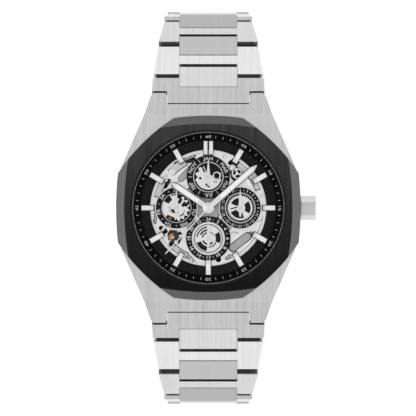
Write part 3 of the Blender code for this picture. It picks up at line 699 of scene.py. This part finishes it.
def make_hands():
    """The white inlays, bosses and caps of the hands, and a dark plate under each of the two long hands as a
    painted shade outline.
    """
    dress_hands()
    for name, angle, top, low, high, half, tip in (
        ("hour_hand", HOUR_ANGLE, 8.1, 2.7, 9.0, 0.4, 0.7),
        ("minute_hand", MINUTE_ANGLE, 8.5, 3.7, 13.6, 0.4, 1.0),
    ):
        outline = pointed_outline(half, low, high - tip * 0.4, high, 0.1)
        inlay = outline_mesh([moved(outline, -angle)], top - 0.05, top + 0.03)
        piece(f"{name}_inlay", inlay, LUME, name, 0.02)
        # A dark plate a little wider than the hand, just under it: a painted shade outline.
        end = high + 1.2
        outline = pointed_outline(0.74, 0.8, end - tip - 0.2, end + 0.08, 0.12)
        rim = outline_mesh([moved(outline, -angle)], top - 0.2, top - 0.14)
        piece(f"{name}_rim", rim, DARK_STEEL, name)
    hour_boss = [(0.92, 8.08), (0.92, 8.16), (1.12, 8.16), (1.2, 8.1), (1.2, 8.02), (0.92, 8.02)]
    piece("hour_hand_boss", turned_mesh(hour_boss, 64), POLISHED, "hour_hand")
    minute_boss = [(0.38, 8.48), (0.38, 8.58), (0.95, 8.58), (1.08, 8.5), (1.08, 8.42), (0.38, 8.42)]
    piece("minute_hand_boss", turned_mesh(minute_boss, 64), POLISHED, "minute_hand")
    cap = [(0.02, 8.75), (0.02, 8.95), (0.18, 8.95), (0.2, 8.9), (0.4, 8.88), (0.5, 8.82), (0.5, 8.75)]
    piece("seconds_cap", turned_mesh(cap, 48), POLISHED, "fourth_wheel")
    for key, centre in (("month", MONTH), ("day", DAY), ("date", DATE), ("hour24", HOUR24)):
        profile = [
            (0.02, 7.5), (0.02, 7.7), (0.14, 7.7), (0.17, 7.64), (0.3, 7.62), (0.36, 7.56), (0.36, 7.5),
        ]
        cap = turned_mesh(profile, 32)
        cap.transform(Matrix.Translation((*centre, 0)))
        piece(f"{key}_hand_cap", cap, POLISHED, f"{key}_hand")


# Movement

def slab(outline, low, high, windows=(), pockets=(), floor=0.0):
    """A flat part with windows cut through it and pockets cut down to a floor."""
    cutters = [outline_mesh([window], low - 0.5, high + 0.5) for window in windows]
    cutters += [outline_mesh([pocket], floor, high + 0.5) for pocket in pockets]
    return boolean_mesh(outline_mesh([outline], low, high), "DIFFERENCE", cutters)


def screw_mesh(x, y, radius, turn):
    """A slotted screw head on the bridge."""
    top = BRIDGE_HIGH
    profile = [
        (0.02, top - 0.15), (radius, top - 0.15), (radius, top + SCREW_LIFT * 0.6),
        (radius * 0.85, top + SCREW_LIFT), (0.02, top + SCREW_LIFT),
    ]
    slot = moved(box_outline(radius * 0.14, -radius * 1.2, radius * 1.2), turn)
    cutter = outline_mesh([slot], top + SCREW_LIFT * 0.2, top + 1)
    head = boolean_mesh(turned_mesh(profile, 32), "DIFFERENCE", [cutter])
    head.transform(Matrix.Translation((x, y, 0)))
    return head


def jewel_mesh(x, y, radius, top):
    profile = [
        (radius * 0.25, top - 0.1), (radius, top - 0.1), (radius, top),
        (radius * 0.85, top + 0.05), (radius * 0.45, top + 0.02),
    ]
    ring = turned_mesh(profile, 32)
    ring.transform(Matrix.Translation((x, y, 0)))
    return ring


# Frosted floors sunk in the bridge: the start, end and radius of each slot
INLAY_PLACES = (
    ((-3.9, 9.1), (-6.2, 6.7), 0.75),
    ((3.3, -3.3), (4.3, -4.3), 1.0),
    ((-3.4, -3.4), (-4.2, -4.2), 0.8),
    ((3.4, 3.4), (4.2, 4.2), 0.9),
    ((-11.9, -0.2), (-12.2, -3.2), 0.36),
    ((-3.3, 3.3), (-4.0, 4.0), 0.8),
    ((-3.0, 11.9), (-5.6, 10.9), 0.26),
    ((-4.9, -10.7), (-3.6, -12.0), 0.42),
    ((4.2, -11.6), (4.9, -11.0), 0.4),
)

# Cover plates round the bridge: inner and outer radius, first and last angle
COVER_PLATES = (
    (11.5, 12.7, 20, 56),
    (11.3, 12.6, 228, 246),
    (10.9, 12.7, 116, 137),
    (11.2, 12.7, 150, 168),
)

# Screws in the bridge: X, Y, radius and turn of the slot
BRIDGE_SCREWS = (
    (3.75, 11.75, 0.42, 20),
    (12.3, 2.85, 0.42, 60),
    (-8.3, 8.2, 0.78, -40),
    (-12.3, -4.45, 0.4, 10),
    (-12.75, -1.75, 0.4, 80),
    (10.9, -7.9, 0.4, 30),
    (5.9, -6.1, 0.5, -20),
    (-3.9, -11.9, 0.4, 45),
)


def bridge_windows():
    """The openings right through the bridge: bores for the arbors, then slots, then two free shapes."""
    windows = [circle(0.75, 48)]
    windows += [circle(0.4, 32, centre) for centre in SUBDIALS]
    windows += [
        circle(0.92, 32, (-7.1, 9.75)),
        capsule((-6.9, 10.2), (-3.2, 11.25), 0.3),
        capsule((-4.6, 10.6), (-3.4, 10.9), 0.42),
        capsule((-9.05, 6.2), (-9.85, 4.95), 0.5),
        capsule((-9.6, 5.2), (-10.35, 4.6), 0.34),
        circle(0.82, 32, (-10.05, -5.15)),
        circle(0.55, 24, (-10.8, -4.6)),
        capsule((-12.4, -2.9), (-12.2, -3.4), 0.3),
        capsule((5.0, 10.3), (6.1, 11.0), 0.5),
        capsule((5.6, 9.7), (6.9, 10.3), 0.4),
        capsule((9.0, 6.2), (9.4, 5.4), 0.3),
        circle(0.66, 24, (2.3, -11.8)),
        capsule((-4.9, -10.6), (-4.3, -11.3), 0.3),
        capsule((1.5, -1.9), (2.6, -2.7), 0.35),
        capsule((5.4, -5.6), (6.6, -5.7), 0.22),
        capsule((9.7, -5.6), (10.3, -5.9), 0.3),
    ]
    gear_window = [
        (4.6, 9.5), (5.4, 9.9), (6.3, 9.4), (7.2, 9.3), (8.1, 8.2),
        (7.6, 6.9), (6.0, 5.9), (5.2, 6.8), (4.9, 8.0),
    ]
    balance_window = [
        (-9.4, -5.9), (-8.8, -5.0), (-6.6, -5.2), (-5.7, -6.2),
        (-7.0, -9.0), (-8.2, -9.7), (-9.0, -8.6),
    ]
    return [*windows, gear_window, balance_window]


def bridge_pockets():
    pockets = [capsule((5.6, -9.1), (9.0, -6.5), 1.0), circle(3.1, 64)]
    pockets += [capsule(*place) for place in INLAY_PLACES]
    for inner, outer, low, high in COVER_PLATES:
        pockets.append(sector(inner - 0.1, outer, low - 0.5, high + 0.5))
    return pockets


def bridge_grooves():
    """The narrow lines cut in the bridge's top."""
    return [
        capsule((-10.6, 6.8), (-6.4, 9.9), 0.05),
        capsule((-8.6, 4.3), (-5.0, 7.8), 0.06),
        capsule((9.6, 8.9), (12.0, 5.6), 0.05),
        capsule((-12.2, 2.6), (-9.4, 7.2), 0.05),
        capsule((9.8, -3.8), (12.4, -2.6), 0.05),
        sector(12.6, 12.7, 98, 128),
        sector(12.55, 12.65, 205, 250),
        sector(12.55, 12.65, 290, 352),
        capsule((-5.6, -10.2), (-2.6, -12.6), 0.05),
    ]


def make_bridge():
    """The openworked bridge, bright on top, with painted shade in its openings, pockets and grooves: its
    bevels, walls and sunk floors take the dark plate.
    """
    mesh = slab(circle(14.9, 192), BRIDGE_LOW, BRIDGE_HIGH, bridge_windows(), bridge_pockets(), POCKET_FLOOR)
    cutters = [outline_mesh([groove], GROOVE_FLOOR, 7.0) for groove in bridge_grooves()]
    mesh = boolean_mesh(mesh, "DIFFERENCE", cutters)
    obj = piece("openworked_bridge", mesh, SILVER, "case")
    # Painted shade: the bevels, upright walls and sunk floors get the dark plate.
    rounded(obj, 0.05, 1).material = 1
    mesh.materials.append(PLATE_DARK)
    for face in mesh.polygons:
        wall = abs(face.normal.z) < 0.3
        sunk = face.normal.z > 0.9 and face.center.z < (BRIDGE_HIGH - 0.1) * MM
        if wall or sunk:
            face.material_index = 1
    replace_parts(obj, "train_bridge")


def make_bridge_inlays():
    inlays = [
        outline_mesh([capsule((5.7, -9.05), (8.9, -6.55), 0.82)], INLAY_LOW, INLAY_TOP),
        slab(circle(2.95, 64), INLAY_LOW, INLAY_TOP, [circle(0.75, 48)]),
    ]
    for start, end, radius in INLAY_PLACES:
        inlays.append(outline_mesh([capsule(start, end, radius - 0.13)], INLAY_LOW, INLAY_TOP))
    piece("bridge_inlays", joined(inlays), POCKET_GREY, "case", 0.03)
    plates = []
    for inner, outer, low, high in COVER_PLATES:
        outline = sector(inner + 0.1, outer - 0.1, low + 0.6, high - 0.6)
        plates.append(outline_mesh([outline], INLAY_LOW, BRIDGE_HIGH - 0.04))
    piece("bridge_cover_plates", joined(plates), PLATE_GREY, "case", 0.03)


def make_bridge_fittings():
    """The dark floors of the small dials, the screws, the balance's setting and the setting wheels."""
    floors = []
    for centre in SUBDIALS:
        floors.append(outline_mesh([circle(3.3, 64, centre)], BRIDGE_HIGH + 0.005, BRIDGE_HIGH + 0.05))
    piece("subdial_floors", joined(floors), PLATE_DARK, "case")
    screws = [screw_mesh(*place) for place in BRIDGE_SCREWS]
    piece("bridge_screws", joined(screws), POLISHED, "case")
    jewel = slab(sector(0.52, 0.88, 75, 255, BALANCE_JEWEL), BRIDGE_HIGH - 0.3, BRIDGE_HIGH - 0.05)
    piece("balance_jewel", jewel, JEWEL, "case", 0.04)
    setting = turned_mesh([(0.12, 5.8), (0.12, 6.2), (0.2, 6.26), (0.36, 6.26), (0.42, 6.2), (0.42, 5.8)], 48)
    setting.transform(Matrix.Translation((*BALANCE_JEWEL, 0)))
    arm = slab(moved(box_outline(0.22, 0.95, 2.6), 140, BALANCE_JEWEL), 5.88, 6.2)
    lower_arm = slab(moved(box_outline(0.3, 0.95, 2.4), 215, BALANCE_JEWEL), 5.88, 6.2)
    piece("balance_setting", joined([setting, arm, lower_arm]), SILVER_FROST, "case", 0.03)
    wheels = []
    for x, y, tip, teeth in ((6.6, 7.9, 1.35, 22), (5.5, 9.2, 0.8, 14)):
        gaps = [sector(0.35, tip - 0.42, first, first + 85, (x, y)) for first in (0, 120, 240)]
        wheels.append(slab(gear(teeth, tip, tip - 0.2, (x, y)), 5.95, 6.15, gaps))
        arbor = turned_mesh([(0.02, 5.9), (0.2, 5.9), (0.2, 6.24), (0.02, 6.24)], 24)
        arbor.transform(Matrix.Translation((x, y, 0)))
        wheels.append(arbor)
    piece("setting_wheels", joined(wheels), GEAR, "case")


def half_star(teeth, tip, root, disc, first, last):
    """A star wheel whose points stop at a plain disc between two angles."""
    points = []
    for i in range(360):
        phase = (i * teeth / 360) % 1
        reach = root + (tip - root) * (1 - abs(2 * phase - 1)) ** 0.8
        radius = disc if first <= i <= last else reach
        points.append((radius * math.cos(math.radians(i)), radius * math.sin(math.radians(i))))
    return points


def calendar_wheel(name, node, centre, outline, windows, body):
    """A bright wheel with openings and its arbor; its bevelled edges get dark steel as painted shade."""
    wheel = slab(outline, WHEEL_LOW, WHEEL_HIGH, windows)
    arbor = turned_mesh([(0.02, 5.9), (0.3, 5.9), (0.3, 6.7), (0.24, 6.8), (0.24, 7.2), (0.02, 7.2)], 32)
    mesh = joined([wheel, arbor])
    mesh.transform(Matrix.Translation((*centre, 0)))
    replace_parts(piece(name, mesh, GEAR, body, 0.04, 1, 30, DARK_STEEL), node)


def make_month_wheel():
    windows = [
        sector(0.75, 3.4, 22, 112),
        capsule((-0.9, 1.2), (-1.2, 1.9), 0.2),
        circle(0.3, 24, (-1.85, -0.3)),
        circle(0.62, 32, (1.95, 0.28)),
        capsule((-0.5, -1.7), (0.1, -2.2), 0.22),
        capsule((1.2, -1.1), (2.0, -1.2), 0.1),
    ]
    outline = half_star(12, 3.1, 2.3, 2.9, 200, 340)
    calendar_wheel("month_star_fine", "month_star", MONTH, outline, windows, "month_hand")
    ring = turned_mesh([(0.66, 6.66), (0.66, 6.9), (0.74, 6.96), (0.92, 6.96), (1.0, 6.88), (1.0, 6.66)], 48)
    ring.transform(Matrix.Translation((MONTH[0] + 1.95, MONTH[1] + 0.28, 0)))
    piece("month_roller", ring, POLISHED, "month_hand")


def make_day_wheel():
    windows = [
        capsule((0.7, 1.3), (1.0, 1.9), 0.36),
        capsule((1.5, 0.6), (1.9, 1.1), 0.36),
        sector(1.9, 2.7, 8, 26),
        sector(2.2, 3.3, 66, 92),
        sector(2.0, 3.3, 118, 152),
        sector(0.75, 1.35, 195, 290),
        capsule((-1.9, -2.1), (-0.8, -2.6), 0.5),
        sector(1.5, 1.62, 165, 230),
        sector(1.9, 2.0, 300, 345),
        capsule((0.8, -1.9), (1.7, -1.4), 0.12),
    ]
    outline = half_star(16, 3.15, 2.35, 3.2, 110, 250)
    calendar_wheel("day_star_fine", "day_star", DAY, outline, windows, "day_hand")


def make_date_wheel():
    windows = [
        sector(1.0, 2.35, 100, 154),
        sector(1.15, 2.4, -32, 40),
        sector(0.95, 2.4, 204, 292),
        capsule((-2.1, -0.2), (-0.8, 0.15), 0.14),
        capsule((-0.7, 0.5), (-0.3, 0.9), 0.12),
    ]
    calendar_wheel("date_wheel_fine", "date_wheel", DATE, gear(36, 3.05, 2.72), windows, "date_hand")


def make_hour24_wheel():
    windows = [
        sector(2.45, 2.75, 98, 172),
        sector(1.75, 2.15, 92, 155),
        sector(1.2, 1.5, 100, 170),
        sector(1.1, 1.5, 200, 320),
        sector(1.8, 2.9, 200, 262),
        sector(1.85, 2.1, 268, 335),
        sector(1.7, 2.85, 338, 392),
        sector(1.4, 1.58, 30, 80),
    ]
    calendar_wheel("hour24_wheel_fine", "hour24_wheel", HOUR24, gear(60, 3.2, 3.05), windows, "hour24_hand")


def make_calendar_wheels():
    make_month_wheel()
    make_day_wheel()
    make_date_wheel()
    make_hour24_wheel()
    jewel = jewel_mesh(-8.75, -2.35, 0.34, 6.33)
    piece("day_jewel", jewel, JEWEL, "case")


def dress(name, material, bevel=0.0, segments=2):
    """Gives a node of the frame its finish and its broken edges."""
    node = NODES[name]
    node.data.materials.clear()
    node.data.materials.append(material)
    if bevel:
        rounded(node, bevel, segments)


def link_frames():
    """Each link's name, body, index and place, from the end link to the clasp on both sides."""
    for hour, side in ((12, 1), (6, -1)):
        y, z = FIRST_PIVOT
        for index, tilt in enumerate(LINK_TILTS):
            turn = Matrix.Rotation(0 if side > 0 else math.pi, 4, "Z")
            turn = turn @ Matrix.Rotation(math.radians(-tilt), 4, "X")
            name = f"link_{hour}_{index}" if index else f"end_link_{hour}"
            body = name if index else "case"
            yield name, body, index, Matrix.Translation((0, side * y, z)) @ turn
            if index:
                y += PITCH * math.cos(math.radians(tilt))
                z -= PITCH * math.sin(math.radians(tilt))


def block_mesh(x0, x1, y0, y1, z0, z1):
    return outline_mesh([[(x0, y0), (x1, y0), (x1, y1), (x0, y1)]], z0, z1)


def make_links():
    """Gives the bracelet its finish, with a painted highlight on the end link's centre piece and painted
    shade on the other centre pieces but the last, and fills the joints between its links with dark blocks as
    painted shade in the gaps.
    """
    for name, body, index, place in link_frames():
        node = NODES[name]
        dress(name, STEEL, 0.1, 3)
        carried = PITCH if index else 0.0
        # Painted highlight on the end link's centre piece, painted shade on the other links' centre pieces.
        node.data.materials.append(STEEL_PAINTED_SHADE if index else STEEL_PAINTED_HIGHLIGHT)
        to_local = place.inverted() @ Matrix.Scale(1 / MM, 4) @ node.matrix_world
        for face in node.data.polygons:
            middle = to_local @ face.center
            on_centre = abs(middle.x) < CENTRE_HALF_WIDTH and middle.y > carried - CENTRE_REACH
            if on_centre and index < LAST_LINK:
                face.material_index = 1
        # Dark blocks in the gaps between the links: painted shade.
        near = LINK_HALF_WIDTHS[max(index - 1, 0)] - 0.5
        far = LINK_HALF_WIDTHS[index] - 0.5
        blocks = []
        if index:
            blocks.append(block_mesh(-6.4, 6.4, 1.35, 1.8, -0.2, 0.2))
            for side in (-1, 1):
                low, high = sorted((side * 6.8, side * near))
                blocks.append(block_mesh(low, high, -1.35, -0.9, -0.2, 0.3))
        if index < LAST_LINK:
            blocks.append(block_mesh(-6.5, 6.5, carried - 4.2, carried - 3.8, -0.9, 0.7))
            blocks.append(block_mesh(-6.4, 6.4, carried + 0.9, carried + 1.3, -0.2, 0.2))
            for side in (-1, 1):
                low, high = sorted((side * 6.8, side * far))
                blocks.append(block_mesh(low, high, carried - 1.85, carried - 1.45, -0.2, 0.3))
        for mesh in blocks:
            mesh.transform(place)
        piece(f"{name}_painted_gap_shade", joined(blocks), DARK_STEEL, body)
    for hour, side in ((12, 1), (6, -1)):
        tongues = [block_mesh(-9.35, 9.35, 22.9, 23.75, 4.5, 6.85)]
        tongues += [block_mesh(*span, 25.7, 26.35, 3.5, 5.85) for span in ((9.7, 12.6), (-12.6, -9.7))]
        for mesh in tongues:
            mesh.transform(Matrix.Rotation(0 if side > 0 else math.pi, 4, "Z"))
        piece(f"lug_tongue_{hour}", joined(tongues), STEEL, "case", 0.05)


def dress_frame():
    dress("case_middle", STEEL, 0.07, 3)
    for name in ("clasp_inner_blade", "clasp_outer_blade", "clasp_cover"):
        dress(name, STEEL, 0.12, 3)
    for name in ("clasp_button_right", "clasp_button_left"):
        dress(name, POLISHED, 0.12, 3)
    dress("crown", CROWN_STEEL, 0.06)
    dress("crown_tube", STEEL)
    dress("winding_stem", POLISHED)
    dress("crown_seal", RUBBER)
    dress("movement_ring", SILVER_FROST, 0.08)
    dress("main_plate", PLATE_DARK, 0.05)
    dress("rotor", SILVER, 0.06)
    dress("balance_cock", DARK_STEEL, 0.05)
    dress("balance_wheel", GEAR, 0.03)
    dress("hairspring", HAIRSPRING_STEEL)
    dress("pallet_fork", POLISHED, 0.02)
    for name in ("fourth_wheel", "third_wheel", "centre_wheel", "barrel", "escape_wheel"):
        dress(name, DARK_STEEL if name == "barrel" else GEAR)


def main():
    bpy.context.scene.view_settings.view_transform = "Standard"
    make_stage()
    make_camera()
    make_world()
    make_lights()
    dress_frame()
    make_links()
    make_bezel()
    make_crystal()
    make_caseback()
    make_chapter_ring()
    make_dial_ring()
    make_subdials()
    make_bridge()
    make_bridge_inlays()
    make_bridge_fittings()
    make_calendar_wheels()
    make_hands()


main()
